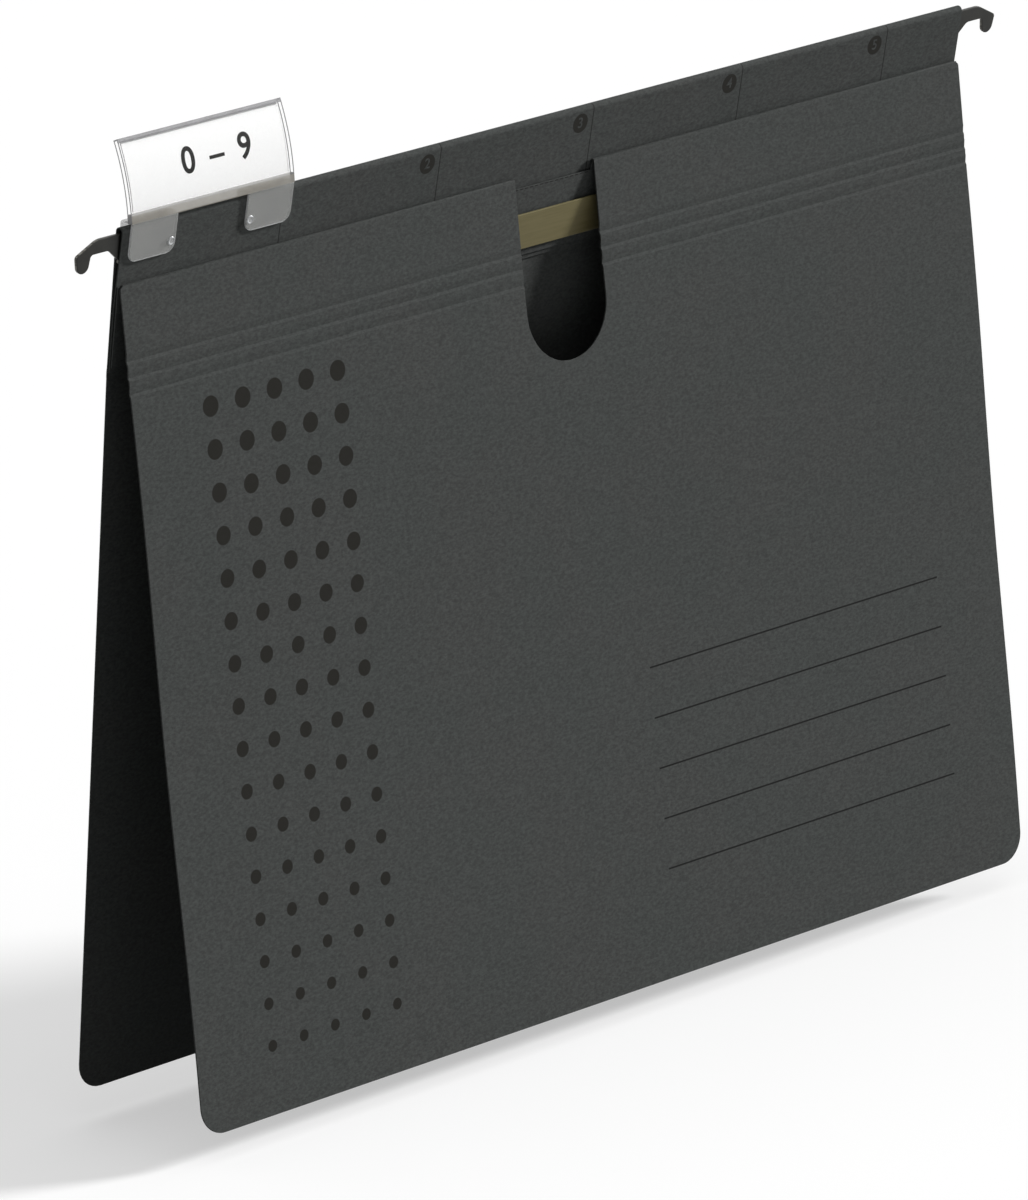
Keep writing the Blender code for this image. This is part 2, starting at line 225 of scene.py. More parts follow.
def piece(name, shape, finishes, body=None):
    """An object at the origin, made from a finished shape that is already in place."""
    mesh = bpy.data.meshes.new(name)
    shape.to_mesh(mesh)
    shape.free()
    for made_finish in finishes:
        mesh.materials.append(made_finish)
    mesh.shade_smooth()
    mesh.set_sharp_from_angle(angle=SMOOTH)
    made = bpy.data.objects.new(name, mesh)
    bpy.context.scene.collection.objects.link(made)
    if body:
        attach(made, body)
    return made


varnished_steel, tree, shader, place = finish("varnished_steel")
mottle = grain(tree, place, scale=160.0, detail=5.0)
toned(tree, shader, mottle, STEEL_COLOUR, STEEL_LIGHT, smooth=0.34, rough=0.50)
shader.inputs["Metallic"].default_value = 0.35
shader.inputs["Specular IOR Level"].default_value = 0.35
raised(tree, shader, grain(tree, place, scale=900.0), strength=0.15, depth=0.00003)

cut_steel, tree, shader, place = finish("cut_steel")
shear_lines = grain(tree, stretched(tree, place, SHEAR_STRETCH), detail=3.0)
toned(tree, shader, shear_lines, STEEL_LIGHT, BARE_STEEL, smooth=0.30, rough=0.45)
shader.inputs["Metallic"].default_value = 0.9

mounts = {mount["name"]: mount for mount in frame["record"]["mounts"]}
rail_lean = lean_of(Vector(mounts["hook_seat_left"]["axis"]))
hook_end = BOARD_HALF + HOOK_REACH
tip_in = hook_end - TIP_TAPER - 2.0 * TIP_ROUND
rail_shape = flat_face([
    (0.0, ARM_HEIGHT, 0.0),
    (0.0, -RAIL_DEPTH, 0.0),
    (BOARD_HALF - CLEARANCE, -RAIL_DEPTH, 0.0),
    (BOARD_HALF - CLEARANCE, -BRACE, 0.0),
    (BOARD_HALF + BRACE, 0.0, THROAT_ROUND),
    (hook_end - TIP_WIDTH, 0.0, THROAT_ROUND),
    (tip_in, -TIP_DROP, TIP_ROUND),
    (hook_end - TIP_TAPER, -TIP_DROP, TIP_ROUND),
    (hook_end, ARM_HEIGHT - SHOULDER_FALL, THROAT_ROUND),
    (hook_end - SHOULDER_REACH, ARM_HEIGHT, SHOULDER_ROUND),
])
bmesh.ops.mirror(rail_shape, geom=rail_shape.faces[:], axis="X", merge_dist=SAME_PLACE)
bmesh.ops.remove_doubles(rail_shape, verts=rail_shape.verts, dist=SAME_PLACE)
sheet(rail_shape, RAIL_THICKNESS, STEEL_RIM)
for side in rail_shape.faces:
    side.material_index = int(abs(side.normal.y) < STEEL_EDGE)
put(rail_shape, leaning(Vector(), rail_lean))
rail = piece("rail_with_hooks", rail_shape, [varnished_steel, cut_steel], "root")
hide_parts("hanging_rail")

# The back board's upper part is anthracite pressboard, folded over the rail and glued to itself.
# Thin printed lines mark the tab's places on it, with a small disc and number beside four of them.
BOARD = 0.0004
BOARD_RIM = 0.00008
FOLD_RADIUS = 0.0013
FOLD_STEPS = 28
BAND_LEAN = radians(6.2)
BAND_LENGTH = 0.03905        # doubled band, behind
FLAP_LENGTH = 0.02175        # flap in front, down to its crease
BAND_FLAP = 0.01715          # flap below its crease, flat against the band
FIBRE_STRETCH = (800.0, 1400.0, 1400.0)  # fibres lie along the rail
BOARD_GREEN = (0.0472, 0.0510, 0.0492, 1.0)
BOARD_BROWN = (0.0490, 0.0515, 0.0498, 1.0)
BOARD_FLECK = (0.0800, 0.0820, 0.0790, 1.0)
INK = (0.0125, 0.0120, 0.0098, 1.0)
DISC_INK = (0.0168, 0.0162, 0.0138, 1.0)
# The line ink also paints the dark dashes of shadow that stand for the short cuts in the finger notch.
LINE_INK_AND_CUT_SHADOW = (0.0150, 0.0150, 0.0140, 1.0)
LINE_FIRST = -0.1013
LINE_PITCH = 0.05755
LINES = 5
LINE_HALF = 0.00017
DISC_OFFSET = -0.00465       # disc's centre beside its line
DISC_RADIUS = 0.0028
DISC_HEIGHT = 0.0008         # disc's centre above the hook seats
INK_EDGE = 0.00006           # softness of a printed edge
PRINTED_SIDE = 0.2           # faces that turn more than this to the front are printed
NUMBER_HEIGHT = 0.0042
NUMBER_DEPTH = 0.00003
NUMBER_WEIGHT = 0.00006


def down(lean):
    """The way down along a board: a positive lean carries its foot backwards."""
    return Vector((0.0, sin(lean), -cos(lean)))


def back(lean):
    """The rear normal of a board."""
    return Vector((0.0, cos(lean), sin(lean)))


def at_height(start, lean, height):
    """The place at a height on a leaning line that runs through a start."""
    return start - down(lean) * (height - start.z) / cos(lean)


def sums(tree, way, *values):
    """One step of arithmetic on sockets or plain numbers."""
    made = node(tree, "ShaderNodeMath", dict(enumerate(values)), operation=way)
    return made.outputs["Value"]


def pressboard(name, inks_and_painted_shadows_of=None):
    """Dyed pressboard: cloudy dye, short fibres and pale flecks, under the shares of ink and of painted
    shadow that are given.
    """
    made, tree, shader, place = finish(name)
    clouds = spread(tree, grain(tree, place, scale=32.0, detail=3.0), low=0.35, high=0.65)
    dye = mixed(tree, clouds, BOARD_GREEN, BOARD_BROWN)
    fibres = grain(tree, stretched(tree, place, FIBRE_STRETCH), detail=5.0, rough=0.7)
    fibre_tone = spread(tree, fibres, low=0.25, high=0.75, least=0.64, most=1.36)
    dyed = mixed(tree, 1.0, dye, fibre_tone, "MULTIPLY")
    specks = grain(tree, place, scale=1900.0, detail=2.0)
    flecks = spread(tree, specks, low=0.64, high=0.74, most=0.45)
    colour = mixed(tree, flecks, dyed, BOARD_FLECK)
    mark_tone = spread(tree, fibres, low=0.25, high=0.75, least=0.88, most=1.12)
    for share, ink in inks_and_painted_shadows_of(tree, place) if inks_and_painted_shadows_of else ():
        colour = mixed(tree, share, colour, mixed(tree, 1.0, ink, mark_tone, "MULTIPLY"))
    tree.links.new(colour, shader.inputs["Base Color"])
    roughness = spread(tree, fibres, GRAIN_LOW, GRAIN_HIGH, least=0.78, most=0.92)
    tree.links.new(roughness, shader.inputs["Roughness"])
    shader.inputs["Specular IOR Level"].default_value = 0.10
    raised(tree, shader, fibres, strength=0.25, depth=0.00006)
    return made


def nearest(tree, value, start, pitch, count):
    """Which of a row of evenly spaced marks is nearest, held to the marks there are, and how far off."""
    steps = sums(tree, "ROUND", sums(tree, "DIVIDE", sums(tree, "SUBTRACT", value, start), pitch))
    mark = sums(tree, "MINIMUM", sums(tree, "MAXIMUM", steps, 0.0), count - 1.0)
    spot = sums(tree, "ADD", sums(tree, "MULTIPLY", mark, pitch), start)
    return mark, sums(tree, "SUBTRACT", value, spot)


def past_line(tree, off, half):
    """How far a place lies outside a straight mark, from its distance to the mark's middle."""
    return sums(tree, "SUBTRACT", sums(tree, "ABSOLUTE", off), half)


def past_round(tree, across, along, radius):
    """How far a place lies outside a round mark, from its distances to the mark's middle."""
    squares = sums(tree, "ADD", sums(tree, "POWER", across, 2.0), sums(tree, "POWER", along, 2.0))
    return sums(tree, "SUBTRACT", sums(tree, "SQRT", squares), radius)


def mark_share(tree, past):
    """Share of a mark from how far a place lies outside it; the marks are print, and painted shadow for the
    notch's cuts.
    """
    return spread(tree, past, -INK_EDGE, INK_EDGE, least=1.0, most=0.0)


def tab_places(tree, place):
    """Shares of ink on the sleeve: a thin line at each tab place and a disc beside all but the first."""
    parts = node(tree, "ShaderNodeSeparateXYZ", {"Vector": place}).outputs
    _, off_line = nearest(tree, parts["X"], LINE_FIRST, LINE_PITCH, LINES)
    on_line = mark_share(tree, past_line(tree, off_line, LINE_HALF))
    first_disc = LINE_FIRST + LINE_PITCH + DISC_OFFSET
    _, across = nearest(tree, parts["X"], first_disc, LINE_PITCH, LINES - 1)
    along = sums(tree, "DIVIDE", sums(tree, "SUBTRACT", parts["Z"], DISC_HEIGHT), cos(flap_lean))
    on_disc = mark_share(tree, past_round(tree, across, along, DISC_RADIUS))
    return ((on_line, LINE_INK_AND_CUT_SHADOW), (on_disc, DISC_INK))


def onwards(shape, last, step):
    """Carry a section line straight on from its last point."""
    made = bmesh.ops.extrude_vert_indiv(shape, verts=[last])["verts"][0]
    bmesh.ops.translate(shape, verts=[made], vec=step)
    return made


def round_bend(shape, last, centre, turn, steps):
    """Carry a section line on round an axis that runs along the rail."""
    made = bmesh.ops.spin(shape, geom=[last], cent=centre, axis=(1.0, 0.0, 0.0), angle=turn, steps=steps)
    return next(item for item in made["geom_last"] if isinstance(item, bmesh.types.BMVert))


def draw_out(shape, step):
    """Draw every line of a section along a step, into a surface."""
    made = bmesh.ops.extrude_edge_only(shape, edges=shape.edges[:])
    ends = [item for item in made["geom"] if isinstance(item, bmesh.types.BMVert)]
    bmesh.ops.translate(shape, verts=ends, vec=step)


fold_centre = -down(rail_lean) * (ARM_HEIGHT + CLEARANCE)
flap_lean = 2.0 * rail_lean - BAND_LEAN  # the rail stands midway between the band and the flap
plain_board = pressboard("plain_pressboard")
sleeve_board = pressboard("marked_pressboard", tab_places)

sleeve_shape = bmesh.new()
back_start = fold_centre + back(BAND_LEAN) * FOLD_RADIUS
band_foot = back_start + down(BAND_LEAN) * BAND_LENGTH
last = sleeve_shape.verts.new((-BOARD_HALF, band_foot.y, band_foot.z))
last = onwards(sleeve_shape, last, -down(BAND_LEAN) * BAND_LENGTH)
last = round_bend(sleeve_shape, last, fold_centre, pi + flap_lean - BAND_LEAN, FOLD_STEPS)
last = onwards(sleeve_shape, last, down(flap_lean) * FLAP_LENGTH)
last = onwards(sleeve_shape, last, down(BAND_LEAN) * BAND_FLAP)
flap_foot = Vector((0.0, last.co.y, last.co.z))
draw_out(sleeve_shape, (2.0 * BOARD_HALF, 0.0, 0.0))
thicken(sleeve_shape, BOARD, back(BAND_LEAN), BOARD_RIM)
for side in sleeve_shape.faces:
    outside = (side.calc_center_median() - fold_centre).dot(side.normal) > 0.0
    side.material_index = int(outside and side.normal.y < -PRINTED_SIDE)
sleeve = piece("sleeve_over_rail", sleeve_shape, [plain_board, sleeve_board], "root")
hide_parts("back_sleeve")


def words_mesh(words, height, depth, weight, spacing=1.0):
    """Words as a thin closed solid in X and Y, centred, turned into a mesh."""
    written = bpy.data.curves.new("words", "FONT")
    written.body = words
    written.size = height
    written.extrude = depth
    written.offset = weight
    written.align_x = "CENTER"
    written.align_y = "CENTER"
    written.space_character = spacing
    holder = bpy.data.objects.new("words", written)
    mesh = bpy.data.meshes.new_from_object(holder)
    bpy.data.objects.remove(holder)
    shape = bmesh.new()
    shape.from_mesh(mesh)
    bmesh.ops.remove_doubles(shape, verts=shape.verts, dist=SAME_PLACE)
    bmesh.ops.recalc_face_normals(shape, faces=shape.faces[:])
    shape.to_mesh(mesh)
    shape.free()
    return mesh


numbers_shape = bmesh.new()
upright = Matrix.Rotation(pi / 2.0, 4, "X")
disc_middle = at_height(fold_centre - back(flap_lean) * FOLD_RADIUS, flap_lean, DISC_HEIGHT)
for line in range(1, LINES):
    digit = words_mesh(str(line + 1), NUMBER_HEIGHT, NUMBER_DEPTH, NUMBER_WEIGHT)
    disc_middle.x = LINE_FIRST + line * LINE_PITCH + DISC_OFFSET
    digit.transform(leaning(disc_middle, flap_lean) @ upright)
    numbers_shape.from_mesh(digit)
piece("tab_place_numbers", numbers_shape, [plain_board], "root")

# The loose back cover is the same board, scored and bent back below the glued band.
# A strip of board lies across the bending line and just covers the band and the cover.
BACK_LENGTH = 0.2022         # below the bend
BACK_LEAN = radians(4.1)
CORNER_ROUND = 0.008
BEND_HALF = 0.0012           # half the width of the strip across the bending line
BEND_PROUD = 0.00001         # the strip just covers the boards that it joins
BEND_CUTS = 6
BACKWARDS = (0.0, 1.0, 0.0)

joints = {joint["name"]: joint for joint in frame["joints"]}
bend_line = Vector(joints["back_bend"]["pos_m"])
back_shape = flat_face([
    (BOARD_HALF, -CLEARANCE / 2.0, 0.0),
    (-BOARD_HALF, -CLEARANCE / 2.0, 0.0),
    (-BOARD_HALF, -BACK_LENGTH, CORNER_ROUND),
    (BOARD_HALF, -BACK_LENGTH, CORNER_ROUND),
])
sheet(back_shape, BOARD, BOARD_RIM)
put(back_shape, leaning(bend_line, BACK_LEAN))
back_cover = piece("back_cover_board", back_shape, [plain_board], "back_cover")
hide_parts("back_panel")

bend_shape = bmesh.new()
bend_face = back(BAND_LEAN) * (BOARD / 2.0 + BEND_PROUD)
bend_head = bend_line + bend_face - down(BAND_LEAN) * BEND_HALF
last = bend_shape.verts.new((-BOARD_HALF, bend_head.y, bend_head.z))
last = onwards(bend_shape, last, down(BAND_LEAN) * BEND_HALF)
onwards(bend_shape, last, down(BACK_LEAN) * BEND_HALF)
bmesh.ops.subdivide_edges(bend_shape, edges=bend_shape.edges[:], cuts=BEND_CUTS)
draw_out(bend_shape, (2.0 * BOARD_HALF, 0.0, 0.0))
thicken(bend_shape, BOARD + 2.0 * BEND_PROUD, BACKWARDS, BEND_PROUD)
back_bend = piece("back_cover_bend", bend_shape, [plain_board])
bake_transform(back_bend)

# The hinge flap is the front board's upper end, turned back at the top fold and glued to the sleeve.
# The finger notch is cut a little way into it, and a row of short cuts weakens the edge there; the cuts are
# painted on the flap as dark dashes of shadow.
HINGE_LENGTH = 0.02257
HINGE_NOTCH = 0.00295        # the notch's edge below the top fold
NOTCH_HALF = 0.015
# Places and sizes of the dashes of painted shadow that stand for the short cuts.
CUT_PITCH = 0.0019
CUTS = 15
CUT_HALF = 0.00065
CUT_DROP = 0.00030           # below the edge in the notch
CUT_HEIGHT = 0.00016         # half the height of a cut


def cut_shadow_dashes(tree, place):
    """Share of painted shadow on the flap: dark dashes that stand for the short cuts along its edge in the
    finger notch.
    """
    parts = node(tree, "ShaderNodeSeparateXYZ", {"Vector": place}).outputs
    _, off_cut = nearest(tree, parts["X"], -CUT_PITCH * (CUTS - 1) / 2.0, CUT_PITCH, CUTS)
    past_cut = past_line(tree, off_cut, CUT_HALF)
    row_height = hinge_head.z - (HINGE_NOTCH + CUT_DROP) * cos(hinge_lean)
    past_row = past_line(tree, sums(tree, "SUBTRACT", parts["Z"], row_height), CUT_HEIGHT)
    in_cut_shadow = mark_share(tree, sums(tree, "MAXIMUM", past_cut, past_row))
    return ((in_cut_shadow, LINE_INK_AND_CUT_SHADOW),)


top_fold = Vector(joints["front_fold"]["pos_m"])
fold_half = (BOARD + CLEARANCE) / 2.0  # from the fold's axis to the middle of either board
fold_step = Vector((0.0, fold_half, 0.0))
hinge_head = top_fold + fold_step
hinge_foot = flap_foot - back(BAND_LEAN) * (BOARD / 2.0 + CLEARANCE)
hinge_lean = lean_of(hinge_foot - hinge_head)
cut_shadow_board = pressboard("pressboard_painted_cut_shadows", cut_shadow_dashes)
hinge_shape = flat_face([
    (BOARD_HALF, 0.0, 0.0),
    (NOTCH_HALF, 0.0, 0.0),
    (NOTCH_HALF, -HINGE_NOTCH, 0.0),
    (-NOTCH_HALF, -HINGE_NOTCH, 0.0),
    (-NOTCH_HALF, 0.0, 0.0),
    (-BOARD_HALF, 0.0, 0.0),
    (-BOARD_HALF, -HINGE_LENGTH, 0.0),
    (BOARD_HALF, -HINGE_LENGTH, 0.0),
])
sheet(hinge_shape, BOARD, BOARD_RIM)
hinge_place = leaning(hinge_head, hinge_lean)
put(hinge_shape, hinge_place)
hinge_board = piece("hinge_flap_board", hinge_shape, [cut_shadow_board], "root")
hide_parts("hinge_flap")

# The front board hangs from its top fold in two strips beside the finger notch.
# The fold is pressed flat, with a narrow round back.
TOP_CORNER = 0.0012
FOLD_FLAT = 0.45             # the fold is pressed to this share of a half circle
FOLD_LAP = 0.0012            # the fold's piece covers both boards this far down
CREASE_START = 0.02025       # upper crease below the top fold
GROOVE_HEAD = 0.0024         # a crease's gentle side starts this far above its bending line

upper_crease = Vector(joints["upper_crease"]["pos_m"])
middle_crease = Vector(joints["middle_crease"]["pos_m"])
lower_crease = Vector(joints["lower_crease"]["pos_m"])
front_lean = lean_of(lower_crease - upper_crease)
strip_place = leaning(top_fold, front_lean) @ Matrix.Translation(-fold_step)
fold_radius = fold_half + BOARD / 2.0 + BEND_PROUD
fold_rear = back(hinge_lean) * fold_radius + down(hinge_lean) * FOLD_LAP
SIDES = (("left", -1.0), ("right", 1.0))
for side_name, side_sign in SIDES:
    strip_shape = flat_face([
        (side_sign * NOTCH_HALF, GROOVE_HEAD - CREASE_START, 0.0),
        (side_sign * BOARD_HALF, GROOVE_HEAD - CREASE_START, 0.0),
        (side_sign * BOARD_HALF, 0.0, TOP_CORNER),
        (side_sign * NOTCH_HALF, 0.0, 0.0),
    ])
    sheet(strip_shape, BOARD, BOARD_RIM)
    put(strip_shape, strip_place)
    strip = piece("front_strip_" + side_name, strip_shape, [plain_board], "front_strip")
    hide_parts("front_top_strip_" + side_name)

    fold_shape = bmesh.new()
    fold_ends = sorted((side_sign * NOTCH_HALF, side_sign * (BOARD_HALF - TOP_CORNER)))
    last = fold_shape.verts.new((fold_ends[0], fold_rear.y, fold_rear.z))
    last = onwards(fold_shape, last, -down(hinge_lean) * FOLD_LAP)
    last = round_bend(fold_shape, last, Vector(), pi + front_lean - hinge_lean, FOLD_STEPS // 2)
    onwards(fold_shape, last, down(front_lean) * FOLD_LAP)
    draw_out(fold_shape, (fold_ends[1] - fold_ends[0], 0.0, 0.0))
    thicken(fold_shape, BOARD + 2.0 * BEND_PROUD, BACKWARDS, BEND_PROUD)
    fold_back = [vert for vert in fold_shape.verts if vert.co.z > 0.0]
    bmesh.ops.scale(fold_shape, vec=(1.0, 1.0, FOLD_FLAT), verts=fold_back)
    bmesh.ops.translate(fold_shape, verts=fold_shape.verts, vec=top_fold)
    fold = piece("front_fold_" + side_name, fold_shape, [plain_board])
    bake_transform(fold)

# Three creases are pressed into the front board below the fastener, so that the cover opens flat.
# Each is a shallow groove, gentle above and steep below, with narrow strips of flat board between.
CREASE_PITCH = 0.00433
GROOVE_FLOOR = 0.0005        # the deepest part lies this far above the bending line
GROOVE_FOOT = 0.0003         # the steep side ends this far below it
GROOVE_DEPTH = 0.00030
GROOVE_LAP = 0.0002          # the grooved strip covers the flat boards this far
GROOVE_CUTS = 4
CREASES = (
    ("upper", upper_crease, "front_strip", "crease_upper"),
    ("middle", middle_crease, "crease_upper", "crease_lower"),
    ("lower", lower_crease, "crease_lower", "front_cover"),
)

groove_front = -BOARD / 2.0 - BEND_PROUD
for crease_name, crease, above, below in CREASES:
    for side_name, side_sign in SIDES:
        groove_ends = sorted((side_sign * NOTCH_HALF, side_sign * BOARD_HALF))
        groove_shape = bmesh.new()
        last = groove_shape.verts.new((groove_ends[0], groove_front, GROOVE_HEAD + GROOVE_LAP))
        last = onwards(groove_shape, last, (0.0, 0.0, -GROOVE_LAP))
        last = onwards(groove_shape, last, (0.0, GROOVE_DEPTH, GROOVE_FLOOR - GROOVE_HEAD))
        last = onwards(groove_shape, last, (0.0, -GROOVE_DEPTH, -GROOVE_FLOOR - GROOVE_FOOT))
        onwards(groove_shape, last, (0.0, 0.0, -GROOVE_LAP))
        bmesh.ops.subdivide_edges(groove_shape, edges=groove_shape.edges[:], cuts=GROOVE_CUTS)
        draw_out(groove_shape, (groove_ends[1] - groove_ends[0], 0.0, 0.0))
        thicken(groove_shape, BOARD + 2.0 * BEND_PROUD, FORWARDS, BEND_PROUD)
        put(groove_shape, leaning(crease, front_lean))
        groove_name = "crease_groove_" + crease_name + "_" + side_name
        groove = piece(groove_name, groove_shape, [plain_board])
        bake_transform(groove)

FLAT_STRIPS = (("upper", upper_crease, "crease_upper"), ("lower", middle_crease, "crease_lower"))
for strip_name, crease, body in FLAT_STRIPS:
    for side_name, side_sign in SIDES:
        flat_shape = flat_face([
            (side_sign * NOTCH_HALF, GROOVE_HEAD - CREASE_PITCH, 0.0),
            (side_sign * BOARD_HALF, GROOVE_HEAD - CREASE_PITCH, 0.0),
            (side_sign * BOARD_HALF, -GROOVE_FOOT, 0.0),
            (side_sign * NOTCH_HALF, -GROOVE_FOOT, 0.0),
        ])
        sheet(flat_shape, BOARD, BOARD_RIM)
        put(flat_shape, leaning(crease, front_lean))
        flat_name = "crease_flat_" + strip_name + "_" + side_name
        flat_strip = piece(flat_name, flat_shape, [plain_board], body)
        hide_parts("crease_strip_" + strip_name + "_" + side_name)

# The front cover is one sheet of the board with a round finger notch and round lower corners.
# A grid of dots that shrink towards the foot and five rules are printed on its face.
FRONT_LENGTH = 0.22815       # from the top fold to the foot
NOTCH_DEPTH = 0.05175        # from the top fold
NOTCH_STEPS = 16
WAVE = 0.0003                # the hanging board is slightly wavy
WAVE_LENGTH = 0.132
WAVE_CUTS = 36
DOT_LEFT = 0.02725           # first dot, from the left edge
DOT_TOP = 0.03690            # first dot, below the top fold
DOT_PITCH = 0.01150
DOT_COLUMNS = 5
DOT_ROWS = 16
DOT_RADIUS_TOP = 0.0028
DOT_RADIUS_FOOT = 0.0016
RULE_TOP = 0.14135           # first rule, below the top fold
RULE_PITCH = 0.01407
RULES = 5
RULE_LEFT = 0.1784           # ends of the rules, from the left edge
RULE_RIGHT = 0.293
RULE_HALF = 0.00023
RULE_INK = (0.0050, 0.0050, 0.0048, 1.0)


def sliced(shape, spot, normal):
    """Cut the faces of a shape along a plane, and leave both sides in place."""
    everything = shape.verts[:] + shape.edges[:] + shape.faces[:]
    bmesh.ops.bisect_plane(shape, geom=everything, plane_co=spot, plane_no=normal)


def front_print(tree, place):
    """Shares of ink on the front cover: the shrinking dots and the rules."""
    parts = node(tree, "ShaderNodeSeparateXYZ", {"Vector": place}).outputs
    across = sums(tree, "ADD", parts["X"], BOARD_HALF)
    fallen = sums(tree, "SUBTRACT", top_fold.z, parts["Z"])
    below = sums(tree, "DIVIDE", fallen, cos(front_lean))
    _, off_across = nearest(tree, across, DOT_LEFT, DOT_PITCH, DOT_COLUMNS)
    row, off_below = nearest(tree, below, DOT_TOP, DOT_PITCH, DOT_ROWS)
    shrink = (DOT_RADIUS_FOOT - DOT_RADIUS_TOP) / (DOT_ROWS - 1.0)
    radius = sums(tree, "ADD", sums(tree, "MULTIPLY", row, shrink), DOT_RADIUS_TOP)
    on_dot = mark_share(tree, past_round(tree, off_across, off_below, radius))
    _, off_rule = nearest(tree, below, RULE_TOP, RULE_PITCH, RULES)
    past_rule = past_line(tree, off_rule, RULE_HALF)
    off_middle = sums(tree, "SUBTRACT", across, (RULE_LEFT + RULE_RIGHT) / 2.0)
    past_end = past_line(tree, off_middle, (RULE_RIGHT - RULE_LEFT) / 2.0)
    on_rule = mark_share(tree, sums(tree, "MAXIMUM", past_rule, past_end))
    return ((on_dot, INK), (on_rule, RULE_INK))


printed_board = pressboard("printed_pressboard", front_print)
crease_end = CREASE_START + 2.0 * CREASE_PITCH
front_foot = crease_end - FRONT_LENGTH
notch_foot = crease_end - NOTCH_DEPTH
front_shape = flat_face(
    [
        (BOARD_HALF, -GROOVE_FOOT, 0.0),
        (NOTCH_HALF, -GROOVE_FOOT, 0.0),
        (NOTCH_HALF, notch_foot, NOTCH_HALF - BEND_PROUD),
        (-NOTCH_HALF, notch_foot, NOTCH_HALF - BEND_PROUD),
        (-NOTCH_HALF, -GROOVE_FOOT, 0.0),
        (-BOARD_HALF, -GROOVE_FOOT, 0.0),
        (-BOARD_HALF, front_foot, CORNER_ROUND),
        (BOARD_HALF, front_foot, CORNER_ROUND),
    ],
    NOTCH_STEPS,
)
for cut in range(1, WAVE_CUTS):
    sliced(front_shape, (0.0, 0.0, front_foot * cut / WAVE_CUTS), (0.0, 0.0, 1.0))
sheet(front_shape, BOARD, BOARD_RIM)
for point in front_shape.verts:
    point.co.y += WAVE * sin(2.0 * pi * point.co.z / WAVE_LENGTH)
for side in front_shape.faces:
    side.material_index = int(side.normal.y < -PRINTED_SIDE)
put(front_shape, leaning(lower_crease, front_lean))
front_cover = piece(
    "front_cover_board", front_shape, [plain_board, printed_board], "front_cover"
)
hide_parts("front_panel")

# The prong fastener's strip is thin bright steel behind the cover bar.
# Its two tongues come through the bar's slots and are folded outwards along it.
BAR_DROP = 0.0151            # middle of the bar below the top fold, along the hinge flap
PRONG_X = 0.040              # the tongues stand twice this far apart
PRONG_LENGTH = 0.032
PRONG_WIDTH = 0.006
PRONG_SHEET = 0.0003
PRONG_TIP = 0.0024
PRONG_BEND = 0.0002
SHEET_STEPS = 6              # faces round a bend in thin sheet
SHEET_RIM = 0.00005          # softened edge of thin sheet
STRIP_DEPTH = -0.00045       # depths from the middle of the hinge flap
TONGUE_DEPTH = -0.00165
BRIGHT_STEEL = (0.55, 0.54, 0.50, 1.0)
DULL_STEEL = (0.36, 0.355, 0.33, 1.0)
ROLL_STRETCH = (40.0, 900.0, 900.0)  # rolling marks run along the strip

tinned_steel, tree, shader, place = finish("tinned_steel")
roll_lines = grain(tree, stretched(tree, place, ROLL_STRETCH))
toned(tree, shader, roll_lines, DULL_STEEL, BRIGHT_STEEL, smooth=0.25, rough=0.42)
shader.inputs["Metallic"].default_value = 1.0

prong_shape = bmesh.new()
tongue_run = Vector((PRONG_LENGTH, 0.0, 0.0))
tongue_rise = Vector((0.0, STRIP_DEPTH - TONGUE_DEPTH, 0.0))
tongue_face = TONGUE_DEPTH - PRONG_SHEET / 2.0
prong_foot = -BAR_DROP - PRONG_WIDTH / 2.0
last = prong_shape.verts.new((-PRONG_X - PRONG_LENGTH, tongue_face, prong_foot))
last = onwards(prong_shape, last, tongue_run)
last = onwards(prong_shape, last, tongue_rise)
last = onwards(prong_shape, last, (2.0 * PRONG_X, 0.0, 0.0))
last = onwards(prong_shape, last, -tongue_rise)
onwards(prong_shape, last, tongue_run)
draw_out(prong_shape, (0.0, 0.0, PRONG_WIDTH))
rounded(prong_shape, sharp_edges(prong_shape), PRONG_BEND, SHEET_STEPS, "EDGES")
tips = [vert for vert in prong_shape.verts if abs(vert.co.x) > PRONG_X + PRONG_LENGTH / 2.0]
rounded(prong_shape, tips, PRONG_TIP, SHEET_STEPS, "VERTICES")
thicken(prong_shape, PRONG_SHEET, FORWARDS, SHEET_RIM)
put(prong_shape, hinge_place)
prongs = piece("fastener_tongues", prong_shape, [tinned_steel], "root")
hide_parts("prong_strip")

# The cover bar is a flat bar of satin brass-coloured metal with a slot for each tongue.
# The tongues hold it against the punched sheets, and it shows in the finger notch.
BAR_HALF = 0.075
BAR_HEIGHT = 0.0102
BAR_SHEET = 0.0006
BAR_FRONT = -0.0014          # front face, from the middle of the hinge flap
BAR_CORNER = 0.0022
SLOT_HALF = 0.00045
SLOT_REACH = 0.0033
BAR_RIM = 0.00018
BRASS = (0.108, 0.091, 0.036, 1.0)
BRASS_WORN = (0.130, 0.111, 0.050, 1.0)
BRUSH_STRETCH = (90.0, 1500.0, 1500.0)  # brushed along the bar

satin_brass, tree, shader, place = finish("satin_brass")
brush_lines = grain(tree, stretched(tree, place, BRUSH_STRETCH))
toned(tree, shader, brush_lines, BRASS, BRASS_WORN, smooth=0.42, rough=0.58)
shader.inputs["Metallic"].default_value = 0.1
shader.inputs["Specular IOR Level"].default_value = 0.25
raised(tree, shader, brush_lines, strength=0.12, depth=0.00003)

